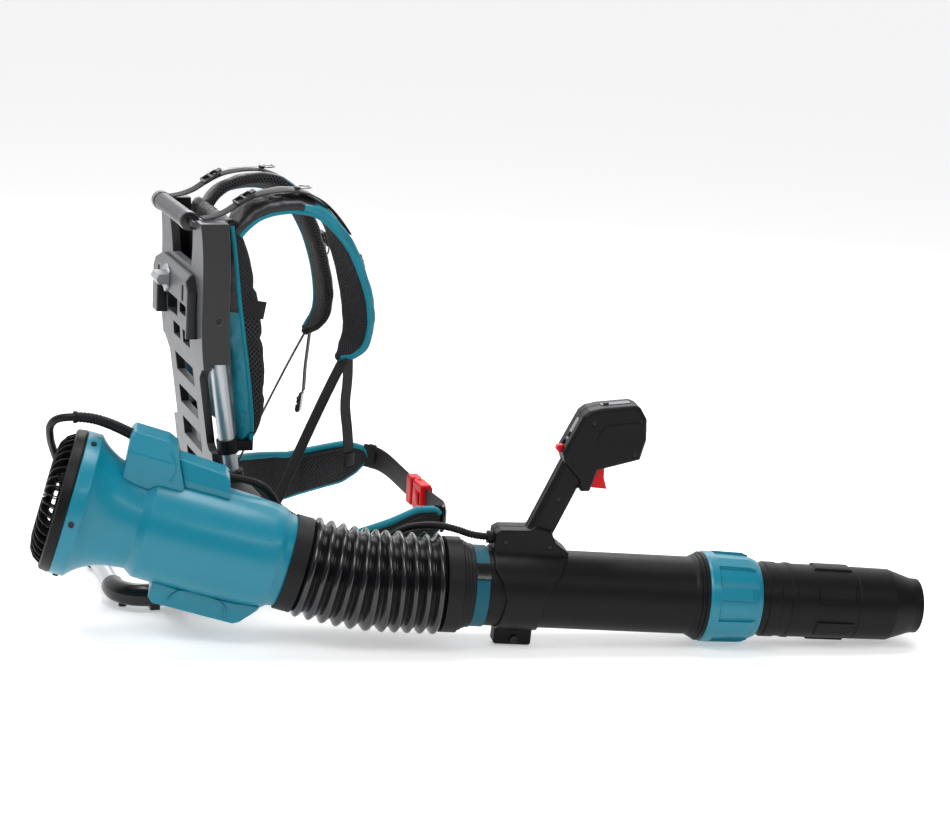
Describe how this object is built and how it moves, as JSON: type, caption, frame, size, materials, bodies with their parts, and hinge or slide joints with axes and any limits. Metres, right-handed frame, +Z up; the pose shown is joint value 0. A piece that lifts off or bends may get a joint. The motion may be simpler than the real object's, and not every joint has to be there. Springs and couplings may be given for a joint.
{
  "type": "backpack leaf blower",
  "caption": "Backpack leaf blower: axial fan housing on a harness frame, flexible duct, control handle and sliding nozzle.",
  "frame": {"origin": "on the floor, under the middle of the machine's bounding box", "axes": "+X the way the wearer faces, +Y to the wearer's left, +Z up"},
  "size_m": [1.2704, 0.6841, 0.6195],
  "materials": {
    "aluminium_tube": "satin bent tube",
    "black_plastic": "fine matte texture",
    "black_gloss": "glossy",
    "grey_plate": "filled nylon, fine speckle",
    "teal_plastic": "satin moulded",
    "silver_knob": "metallic lacquer",
    "grip_silver": "satin",
    "pad_fabric": "mesh face, teal satin sides",
    "webbing": "woven webbing",
    "red_plastic": "satin moulded",
    "rubber": "matte",
    "cable_rubber": "smooth jacket",
    "steel": "plain steel",
    "black_steel": "black coated steel",
    "display": "tinted window",
    "board": "circuit board",
    "teal_webbing": "woven webbing"
  },
  "bodies": {
    "carrier": {"frame_pipe": "aluminium_tube", "corner_covers": "black_gloss", "front_feet": "rubber", "pipe_clips": "black_plastic", "back_plate": "grey_plate", "battery_mount": "grey_plate", "carry_grip": "grip_silver", "plate_screws": "black_steel", "back_pad": "pad_fabric", "shoulder_strap_right": "pad_fabric", "shoulder_strap_left": "pad_fabric", "steel_rings": "steel", "strap_webbing": "webbing", "strap_hardware": "black_plastic", "waist_belt": "pad_fabric", "belt_webbing": "webbing", "buckle_socket": "red_plastic", "buckle_latch": "red_plastic", "fan_housing": "teal_plastic", "controller_cover": "teal_plastic", "cable_cover": "teal_plastic", "belly_cover": "teal_plastic", "controller_board": "board", "intake_ring": "black_plastic", "intake_guard": "black_plastic", "fan_sleeve": "black_plastic", "motor_stator": "steel", "bearings": "steel", "bellows_cuff_rear": "rubber", "housing_screws": "black_steel", "blower_bracket": "black_plastic", "base_bracket": "black_plastic", "cable_sleeve": "cable_rubber", "power_cable": "cable_rubber", "power_cable_coil": "cable_rubber", "power_plug": "black_plastic"},
    "fan": {"fan_rotor": "black_plastic", "motor_shaft": "steel"},
    "bellows_link": {"bellows_ring": "rubber", "bellows_rear": "rubber", "conduit_rear": "cable_rubber"},
    "duct_tube": {"bellows_front": "rubber", "conduit_front": "cable_rubber", "blower_tube": "black_plastic", "bellows_cuff_front": "rubber", "cable_strap": "teal_webbing", "strap_slide": "black_gloss", "display_windows": "display", "handle_gland": "rubber", "pivot_pins": "steel", "handle_screws": "black_steel", "handle_shell_right": "black_plastic", "handle_shell_left": "black_plastic"},
    "nut": {"lock_nut": "teal_plastic"},
    "nozzle_tube": {"nozzle": "black_plastic"},
    "trigger_body": {"trigger": "red_plastic"},
    "lever_body": {"cruise_lever": "red_plastic"},
    "power_key": {"power_button": "black_plastic"},
    "boost_key": {"boost_button": "black_plastic"},
    "battery_lock": {"lock_knob": "silver_knob"}
  },
  "joints": [
    {"name": "fan_spin", "type": "hinge", "parent": "carrier", "child": "fan", "pos_m": [-0.44099, -0.09256, 0.16179], "axis": [0.9385, -0.234, -0.2538], "continuous": true},
    {"name": "bellows_pitch", "type": "hinge", "parent": "carrier", "child": "bellows_link", "pos_m": [-0.21827, -0.1475, 0.10337], "axis": [-0.1736, -0.9848, 0], "range_deg": [-15, 25], "deforming": ["bellows_rear", "conduit_rear"]},
    {"name": "bellows_yaw", "type": "hinge", "parent": "bellows_link", "child": "duct_tube", "pos_m": [-0.12054, -0.16712, 0.09136], "axis": [0, 0, 1], "range_deg": [-20, 20], "deforming": ["bellows_front", "conduit_front"]},
    {"name": "nut_turn", "type": "hinge", "parent": "duct_tube", "child": "nut", "pos_m": [0.33514, -0.24747, 0.06913], "axis": [0.9837, -0.1734, -0.048], "range_deg": [0, 90]},
    {"name": "nozzle_slide", "type": "slide", "parent": "duct_tube", "child": "nozzle_tube", "axis": [0.9837, -0.1734, -0.048], "range_m": [0, 0.1]},
    {"name": "trigger_pull", "type": "hinge", "parent": "duct_tube", "child": "trigger_body", "pos_m": [0.14069, -0.21318, 0.27283], "axis": [0.1736, 0.9848, 0], "range_deg": [0, 12], "stiffness_Nm_per_rad": 0.4, "springref_deg": -8.59},
    {"name": "cruise_lever_turn", "type": "hinge", "parent": "duct_tube", "child": "lever_body", "pos_m": [0.10102, -0.20619, 0.28879], "axis": [0.1736, 0.9848, 0], "range_deg": [0, 25]},
    {"name": "power_button_press", "type": "slide", "parent": "duct_tube", "child": "power_key", "axis": [0.0981, -0.0173, -0.995], "range_m": [0, 0.0012], "stiffness_N_per_m": 400, "springref_m": -0.002},
    {"name": "boost_button_press", "type": "slide", "parent": "duct_tube", "child": "boost_key", "axis": [0.8862, -0.1563, -0.4361], "range_m": [0, 0.0012], "stiffness_N_per_m": 400, "springref_m": -0.002},
    {"name": "battery_lock_turn", "type": "hinge", "parent": "carrier", "child": "battery_lock", "pos_m": [-0.39, 0.1825, 0.462], "axis": [-1, 0, 0], "range_deg": [0, 90]}
  ]
}
